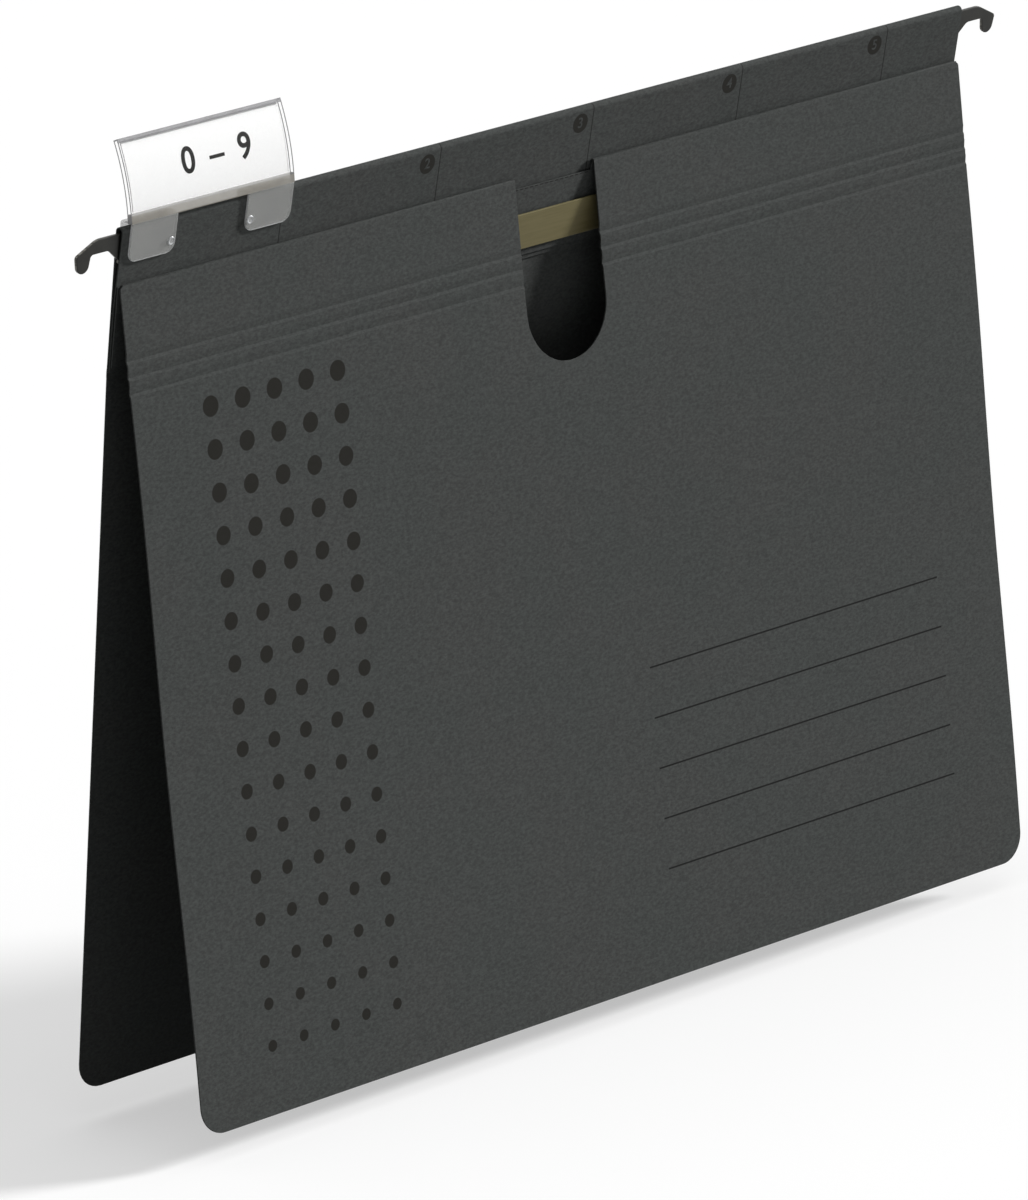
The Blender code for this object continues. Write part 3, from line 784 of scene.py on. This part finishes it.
bar_top = BAR_HEIGHT / 2.0
bar_shape = flat_face([
    (BAR_HALF, bar_top, BAR_CORNER),
    (-BAR_HALF, bar_top, BAR_CORNER),
    (-BAR_HALF, -bar_top, BAR_CORNER),
    (BAR_HALF, -bar_top, BAR_CORNER),
])
for _, side_sign in SIDES:
    sliced(bar_shape, (side_sign * PRONG_X - SLOT_HALF, 0.0, 0.0), (1.0, 0.0, 0.0))
    sliced(bar_shape, (side_sign * PRONG_X + SLOT_HALF, 0.0, 0.0), (1.0, 0.0, 0.0))
    sliced(bar_shape, (0.0, 0.0, side_sign * SLOT_REACH), (0.0, 0.0, 1.0))
in_slots = [
    face
    for face in bar_shape.faces
    if abs(face.calc_center_median().z) < SLOT_REACH
    and abs(abs(face.calc_center_median().x) - PRONG_X) < SLOT_HALF
]
bmesh.ops.delete(bar_shape, geom=in_slots, context="FACES")
thicken(bar_shape, BAR_SHEET, FORWARDS, BAR_RIM)
put(bar_shape, hinge_place @ Matrix.Translation((0.0, BAR_FRONT, -BAR_DROP)))
bar = piece("fastener_bar", bar_shape, [satin_brass], "root")
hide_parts("cover_bar")

# Each slider is a clip of thin sheet bent round the bar, with a pressed thumb grip.
# Pushed inwards it frees its tongue, and pushed outwards it holds the tongue down.
SLIDER_LENGTH = 0.016
SLIDER_SHEET = 0.0003
SLIDER_X = 0.055             # its middle, when it holds the tongue down
SLIDER_FRONT = -0.0024       # outer faces, from the middle of the hinge flap
SLIDER_BACK = -0.00035
SLIDER_HALF = 0.0057
SLIDER_LIP = 0.0012
SLIDER_BEND = 0.0005
GRIP_MARGIN = 0.0028
GRIP_SLOPE = 0.00036
GRIP_DEPTH = 0.00012

for side_name, side_sign in SIDES:
    clip_shape = bmesh.new()
    clip_left = side_sign * SLIDER_X - SLIDER_LENGTH / 2.0
    last = clip_shape.verts.new((clip_left, SLIDER_BACK, SLIDER_HALF - SLIDER_LIP))
    last = onwards(clip_shape, last, (0.0, 0.0, SLIDER_LIP))
    last = onwards(clip_shape, last, (0.0, SLIDER_FRONT - SLIDER_BACK, 0.0))
    last = onwards(clip_shape, last, (0.0, 0.0, -2.0 * SLIDER_HALF))
    last = onwards(clip_shape, last, (0.0, SLIDER_BACK - SLIDER_FRONT, 0.0))
    onwards(clip_shape, last, (0.0, 0.0, SLIDER_LIP))
    draw_out(clip_shape, (SLIDER_LENGTH, 0.0, 0.0))
    rounded(clip_shape, sharp_edges(clip_shape), SLIDER_BEND, SHEET_STEPS, "EDGES")
    front = max(clip_shape.faces, key=lambda face: face.calc_area())
    bmesh.ops.inset_region(clip_shape, faces=[front], thickness=GRIP_MARGIN)
    bmesh.ops.inset_region(clip_shape, faces=[front], thickness=GRIP_SLOPE)
    bmesh.ops.translate(clip_shape, verts=front.verts, vec=(0.0, -GRIP_DEPTH, 0.0))
    thicken(clip_shape, SLIDER_SHEET, BACKWARDS, SHEET_RIM)
    put(clip_shape, hinge_place @ Matrix.Translation((0.0, 0.0, -BAR_DROP)))
    clip = piece(
        "fastener_slider_" + side_name, clip_shape, [satin_brass], side_name + "_slider"
    )
    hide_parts("slider_" + side_name)

# The index tab is a clear moulded pocket, curved forwards, that snaps over the sleeve's top edge.
# Two frosted lugs grip the sleeve in front, and two saddles run over the top and down the back.
TAB_WIDTH = 0.0580
TAB_INSET = 0.0022           # short of the sleeve's left end
TAB_SEAT = 0.0008            # the pocket's foot above the sleeve's top
TAB_HEIGHT = 0.0198          # window with its upper edge, along the lean
TAB_LEAN = radians(13.6)
TAB_WALL = 0.0004
TAB_RIM = 0.0004             # closed upper edge of the pocket
TAB_LIP = 0.0026             # solid lower band of the pocket
BULGE_RADIUS = 0.061
WINDOW_STEPS = 20
LABEL_SHEET = 0.0003
LUG_WIDTH = 0.0165
LUG_LENGTH = 0.0110
LUG_SHEET = 0.0006
LUG_ROUND = 0.003
LUG_RIM = 0.00026
SADDLE_BEND = 0.0008
END_SIDE = 0.5               # faces that turn more than this to an end are the pocket's ends
FACE_SIDE = 0.8              # faces that turn less than this to the front are a lug's edges
STUD_RADIUS = 0.0012         # at its foot
STUD_TOP = 0.00096           # radius at its top
STUD_RING = 0.0003           # ring round the stud's hollow
STUD_HOLLOW = 0.00015
STUD_HEIGHT = 0.00025
STUD_SIDES = 20
STUD_DROP = 0.0076           # below the lug's head
STUD_INSET = 0.0016          # from the lug's inner edge
CLEAR = (0.80, 0.82, 0.84, 1.0)
HAZE = (0.62, 0.63, 0.64, 1.0)
FROST = (0.50, 0.505, 0.49, 1.0)
FROST_DEEP = (0.46, 0.465, 0.455, 1.0)
# Painted shade: dark grey for the pocket's ends and closed upper edge.
EDGE_SHADE_PALE = (0.26, 0.26, 0.27, 1.0)
EDGE_SHADE_DEEP = (0.18, 0.18, 0.185, 1.0)
LIP_LIGHT = (0.26, 0.243, 0.205, 1.0)
LIP_DEEP = (0.22, 0.206, 0.175, 1.0)


def moulded(name, first, second, alpha, smooth, rough, relief):
    """Moulded plastic: slightly uneven tone and a fine relief, see-through by its alpha."""
    made, tree, shader, place = finish(name)
    toned(tree, shader, grain(tree, place, scale=140.0, detail=3.0), first, second, smooth, rough)
    shader.inputs["Alpha"].default_value = alpha
    shader.inputs["IOR"].default_value = 1.49
    raised(tree, shader, grain(tree, place, scale=2200.0), relief, depth=0.00003)
    return made


def on_bulge(radius, turn):
    """A point of the curved pocket."""
    return bulge_centre + Vector((0.0, cos(turn), sin(turn))) * radius


def curved_loop(shape, front, rear, head, foot):
    """A closed section line between two radii and two turns of the pocket's curve."""
    corner = on_bulge(front, foot)
    first = shape.verts.new((tab_left, corner.y, corner.z))
    last = round_bend(shape, first, bulge_centre, head - foot, WINDOW_STEPS)
    last = onwards(shape, last, on_bulge(rear, head) - on_bulge(front, head))
    last = round_bend(shape, last, bulge_centre, foot - head, WINDOW_STEPS)
    shape.edges.new((last, first))


clear_plastic = moulded("clear_plastic", CLEAR, HAZE, alpha=0.006, smooth=0.06, rough=0.084, relief=0.02)
frosted_plastic = moulded(
    "frosted_plastic", FROST, FROST_DEEP, alpha=0.37, smooth=0.35, rough=0.49, relief=0.04
)
lip_plastic = moulded("plastic_lip", LIP_LIGHT, LIP_DEEP, alpha=0.60, smooth=0.35, rough=0.49, relief=0.01)
# Painted shade on the pocket's ends and closed upper edge: darker and less clear than its walls, as thick
# clear plastic looks seen edge-on.
edge_shade_plastic = moulded(
    "plastic_edges_painted_shade", EDGE_SHADE_PALE, EDGE_SHADE_DEEP, alpha=0.85, smooth=0.15, rough=0.21, relief=0.02
)
# Painted highlight: the lugs' edges and the studs' sides and rings are paler and less clear than the frosted
# faces, for light caught in the edges.
rim_highlight_plastic = moulded("plastic_rims_painted_highlight", CLEAR, HAZE, alpha=0.60, smooth=0.20, rough=0.28, relief=0.02)

seat_height = fold_centre.z + FOLD_RADIUS + TAB_SEAT
lug_face = fold_centre - back(flap_lean) * (FOLD_RADIUS + CLEARANCE + LUG_SHEET)
lug_head = at_height(lug_face, flap_lean, seat_height)
window_half = (TAB_LIP + TAB_HEIGHT) / 2.0
window_middle = lug_head - down(-TAB_LEAN) * window_half
bulge_half = asin(window_half / BULGE_RADIUS)
bulge_centre = window_middle + back(-TAB_LEAN) * BULGE_RADIUS * cos(bulge_half)
foot_turn = pi - TAB_LEAN + bulge_half
head_turn = pi - TAB_LEAN - bulge_half
room_foot = foot_turn - TAB_LIP / BULGE_RADIUS
room_head = head_turn + TAB_RIM / BULGE_RADIUS
room_front = BULGE_RADIUS - TAB_WALL
room_back = room_front - LABEL_SHEET - 2.0 * CLEARANCE
pocket_back = room_back - TAB_WALL
tab_left = TAB_INSET - BOARD_HALF
pocket_shape = bmesh.new()
curved_loop(pocket_shape, BULGE_RADIUS, pocket_back, head_turn, foot_turn)
curved_loop(pocket_shape, room_front, room_back, room_head, room_foot)
left_end = pocket_shape.edges[:]
draw_out(pocket_shape, (TAB_WIDTH, 0.0, 0.0))
tab_middle = tab_left + TAB_WIDTH / 2.0
right_end = [edge for edge in pocket_shape.edges if all(vert.co.x > tab_middle for vert in edge.verts)]
for open_end in (left_end, right_end):
    bmesh.ops.triangle_fill(pocket_shape, edges=open_end, use_beauty=True, normal=(1.0, 0.0, 0.0))
bmesh.ops.recalc_face_normals(pocket_shape, faces=pocket_shape.faces[:])
lip_height = on_bulge(BULGE_RADIUS, room_foot).z
rim_height = on_bulge(room_front, room_head).z
pocket_finishes = [clear_plastic, lip_plastic, edge_shade_plastic]
# The ends and the closed upper edge take the painted shade, and the lower band the lip's finish.
for side in pocket_shape.faces:
    middle = side.calc_center_median()
    if abs(side.normal.x) > END_SIDE or middle.z > rim_height:
        side.material_index = pocket_finishes.index(edge_shade_plastic)
    elif middle.z < lip_height:
        side.material_index = pocket_finishes.index(lip_plastic)
pocket = piece("tab_pocket", pocket_shape, pocket_finishes, "tab")
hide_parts("tab_holder")

saddle_face = fold_centre + back(BAND_LEAN) * (FOLD_RADIUS + CLEARANCE + LUG_SHEET)
saddle_top = at_height(saddle_face, BAND_LEAN, seat_height + LUG_SHEET)
saddle_foot = saddle_top + down(BAND_LEAN) * LUG_LENGTH
saddle_front = lug_head.y + (BULGE_RADIUS - pocket_back) / 2.0
for side_name, side_sign in SIDES:
    outer = tab_middle + side_sign * TAB_WIDTH / 2.0
    lug_low, lug_high = sorted((outer, outer - side_sign * LUG_WIDTH))
    lug_shape = flat_face([
        (lug_low, 0.0, 0.0),
        (lug_low, -LUG_LENGTH, LUG_ROUND),
        (lug_high, -LUG_LENGTH, LUG_ROUND),
        (lug_high, 0.0, 0.0),
    ])
    thicken(lug_shape, LUG_SHEET, FORWARDS, LUG_RIM)
    # The lug's edges take the painted highlight.
    for side in lug_shape.faces:
        side.material_index = int(abs(side.normal.y) < FACE_SIDE)
    stud_x = outer - side_sign * (LUG_WIDTH - STUD_INSET)
    stud = bmesh.ops.create_cone(
        lug_shape,
        cap_ends=True,
        segments=STUD_SIDES,
        radius1=STUD_RADIUS,
        radius2=STUD_TOP,
        depth=STUD_HEIGHT,
        matrix=Matrix.Translation((stud_x, -STUD_HEIGHT / 2.0, -STUD_DROP))
        @ Matrix.Rotation(pi / 2.0, 4, "X"),
    )
    stud_faces = {face for vert in stud["verts"] for face in vert.link_faces}
    stud_face = min(stud_faces, key=lambda face: face.calc_center_median().y)
    stud_ring = bmesh.ops.inset_region(lug_shape, faces=[stud_face], thickness=STUD_RING)
    bmesh.ops.translate(lug_shape, verts=stud_face.verts, vec=(0.0, STUD_HOLLOW, 0.0))
    # The stud's sides and ring take the painted highlight, and its hollow stays frosted.
    for side in [*stud_faces, *stud_ring["faces"]]:
        side.material_index = int(side != stud_face)
    put(lug_shape, leaning(lug_head, flap_lean))
    piece("tab_lug_" + side_name, lug_shape, [frosted_plastic, rim_highlight_plastic], "tab")

    saddle_shape = bmesh.new()
    last = saddle_shape.verts.new((lug_low, saddle_foot.y, saddle_foot.z))
    last = onwards(saddle_shape, last, -down(BAND_LEAN) * LUG_LENGTH)
    onwards(saddle_shape, last, (0.0, saddle_front - saddle_top.y, 0.0))
    draw_out(saddle_shape, (LUG_WIDTH, 0.0, 0.0))
    rounded(saddle_shape, sharp_edges(saddle_shape), SADDLE_BEND, SHEET_STEPS, "EDGES")
    lug_corners = [vert for vert in saddle_shape.verts if vert.co.z < saddle_foot.z + LUG_SHEET]
    rounded(saddle_shape, lug_corners, LUG_ROUND, SHEET_STEPS, "VERTICES")
    thicken(saddle_shape, LUG_SHEET, BACKWARDS, LUG_RIM)
    piece("tab_saddle_" + side_name, saddle_shape, [frosted_plastic], "tab")

# The label is a white card that slides into the tab's pocket and takes its curve.
# It carries plain black figures, printed a little right of its middle.
LABEL_INSET = 0.0012         # short of the tab's ends
FIGURES = "0 – 9"
FIGURE_HEIGHT = 0.0098
FIGURE_WEIGHT = 0.00016
FIGURE_SPACING = 1.25
FIGURE_SHIFT = 0.0035        # right of the label's middle
FIGURE_DEPTH = 0.00003
FIGURE_BANDS = 8
CARD = (0.91, 0.91, 0.905, 1.0)
CARD_FIBRE = (0.87, 0.87, 0.865, 1.0)
BLACK_INK = (0.002, 0.002, 0.002, 1.0)

white_card, tree, shader, place = finish("white_card")
toned(tree, shader, grain(tree, place, scale=1500.0), CARD_FIBRE, CARD, smooth=0.60, rough=0.75)
shader.inputs["Specular IOR Level"].default_value = 0.2

black_ink, tree, shader, place = finish("black_ink")
toned(tree, shader, grain(tree, place, scale=900.0), BLACK_INK, INK, smooth=0.50, rough=0.70)
shader.inputs["Specular IOR Level"].default_value = 0.1

label_radius = room_front - CLEARANCE  # front face
label_head = room_head + CLEARANCE / BULGE_RADIUS
label_foot = room_foot - CLEARANCE / BULGE_RADIUS
label_shape = bmesh.new()
label_corner = on_bulge(label_radius, label_foot)
last = label_shape.verts.new((tab_left + LABEL_INSET, label_corner.y, label_corner.z))
round_bend(label_shape, last, bulge_centre, label_head - label_foot, WINDOW_STEPS)
draw_out(label_shape, (TAB_WIDTH - 2.0 * LABEL_INSET, 0.0, 0.0))
thicken(label_shape, LABEL_SHEET, FORWARDS, SHEET_RIM)
label = piece("label_card", label_shape, [white_card], "label")
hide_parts("tab_label")

figures_shape = bmesh.new()
figures_shape.from_mesh(words_mesh(FIGURES, FIGURE_HEIGHT, FIGURE_DEPTH, FIGURE_WEIGHT, FIGURE_SPACING))
for cut in range(1, FIGURE_BANDS):
    sliced(figures_shape, (0.0, FIGURE_HEIGHT * (cut / FIGURE_BANDS - 0.5), 0.0), (0.0, 1.0, 0.0))
label_middle = (label_head + label_foot) / 2.0
for point in figures_shape.verts:
    spot = on_bulge(label_radius + point.co.z, label_middle - point.co.y / label_radius)
    point.co = (tab_middle + FIGURE_SHIFT + point.co.x, spot.y, spot.z)
bmesh.ops.recalc_face_normals(figures_shape, faces=figures_shape.faces[:])
piece("label_figures", figures_shape, [black_ink], "label")

# The folder hangs just above a plain white floor, in soft light that comes from the front right.
# A weak even light fills the rest, and the camera stands front left, as in the photograph.
FLOOR_DROP = 0.008           # below the covers
FLOOR_HALF = 20.0
WHITE = (1.0, 1.0, 1.0, 1.0)
FLOOR_WHITE = (0.96, 0.96, 0.96, 1.0)
FLOOR_SHADE = (0.95, 0.95, 0.95, 1.0)
FLOOR_DULL = (0.40, 0.40, 0.40, 1.0)  # what the folder gets back from the floor
FLOOR_GLOW = 0.5             # share of plain white in the floor that the camera sees
FILL = 0.12                  # strength of the even light
KEY_STRENGTH = 4.9
KEY_WIDTH = radians(12.0)
KEY_TURN = radians(66.0)     # from the front towards the right
KEY_RISE = radians(22.0)
TOP_STRENGTH = 1.1           # weak, very soft light from straight above
TOP_WIDTH = radians(70.0)
CAMERA_AIM = Vector((-0.06626, -0.05132, -0.10455))
CAMERA_DISTANCE = 2.856
CAMERA_TURN = radians(-45.138)
CAMERA_RISE = radians(17.770)
CAMERA_LENS = 326.44
CAMERA_REACH = 100.0


def seen_directly(tree):
    """One for what the camera sees, also in gloss or through clear pieces, and nought for other light."""
    rays = node(tree, "ShaderNodeLightPath").outputs
    seen = sums(tree, "MAXIMUM", rays["Is Camera Ray"], rays["Is Glossy Ray"])
    return sums(tree, "MAXIMUM", seen, rays["Is Transmission Ray"])


def way_to(turn, rise):
    """The way to something that stands this far round from the front to the right, and this far up."""
    return Vector((sin(turn) * cos(rise), -cos(turn) * cos(rise), sin(rise)))


def facing(way):
    """The turn of a lamp or camera that stands that way off and looks back."""
    return way.to_track_quat("Z", "Y").to_euler()


def lamp(name, strength, width, turn, rise):
    """A soft lamp, far away."""
    light = bpy.data.lights.new(name, "SUN")
    light.energy = strength
    light.angle = width
    held = bpy.data.objects.new(name, light)
    held.rotation_euler = facing(way_to(turn, rise))
    bpy.context.scene.collection.objects.link(held)


floor_shape = bmesh.new()
bmesh.ops.create_grid(floor_shape, x_segments=1, y_segments=1, size=FLOOR_HALF)
bmesh.ops.translate(floor_shape, verts=floor_shape.verts, vec=(0.0, 0.0, cad_low.z - FLOOR_DROP))
floor_finish, tree, shader, place = finish("pale_floor")
seen = seen_directly(tree)
pale = mixed(tree, grain(tree, place, scale=6.0), FLOOR_SHADE, FLOOR_WHITE)
tree.links.new(mixed(tree, seen, FLOOR_DULL, pale), shader.inputs["Base Color"])
shader.inputs["Roughness"].default_value = 0.9
shader.inputs["Specular IOR Level"].default_value = 0.0
glow = node(tree, "ShaderNodeEmission", {"Color": WHITE, "Strength": 1.0})
floor_mix = node(
    tree,
    "ShaderNodeMixShader",
    {"Fac": sums(tree, "MULTIPLY", seen, FLOOR_GLOW), 1: shader.outputs["BSDF"], 2: glow.outputs["Emission"]},
)
tree.links.new(floor_mix.outputs["Shader"], tree.nodes["Material Output"].inputs["Surface"])
floor_mesh = bpy.data.meshes.new("floor")
floor_shape.to_mesh(floor_mesh)
floor_shape.free()
floor_mesh.materials.append(floor_finish)
floor = bpy.data.objects.new("floor", floor_mesh)
bpy.context.scene.collection.objects.link(floor)

lamp("key", KEY_STRENGTH, KEY_WIDTH, KEY_TURN, KEY_RISE)
lamp("top", TOP_STRENGTH, TOP_WIDTH, 0.0, pi / 2.0)

world = bpy.data.worlds.new("studio")
world.use_nodes = True
tree = world.node_tree
tree.nodes.clear()
fill = node(tree, "ShaderNodeBackground", {"Color": WHITE, "Strength": FILL})
white = node(tree, "ShaderNodeBackground", {"Color": WHITE, "Strength": 1.0})
both = node(
    tree,
    "ShaderNodeMixShader",
    {"Fac": seen_directly(tree), 1: fill.outputs["Background"], 2: white.outputs["Background"]},
)
node(tree, "ShaderNodeOutputWorld", {"Surface": both.outputs["Shader"]})
bpy.context.scene.world = world

camera_data = bpy.data.cameras.new("camera")
camera_data.lens = CAMERA_LENS
camera_data.clip_end = CAMERA_REACH
camera = bpy.data.objects.new("camera", camera_data)
camera_way = way_to(CAMERA_TURN, CAMERA_RISE)
camera.location = CAMERA_AIM + camera_way * CAMERA_DISTANCE
camera.rotation_euler = facing(camera_way)
bpy.context.scene.collection.objects.link(camera)
bpy.context.scene.camera = camera
bpy.context.scene.view_settings.view_transform = "Standard"
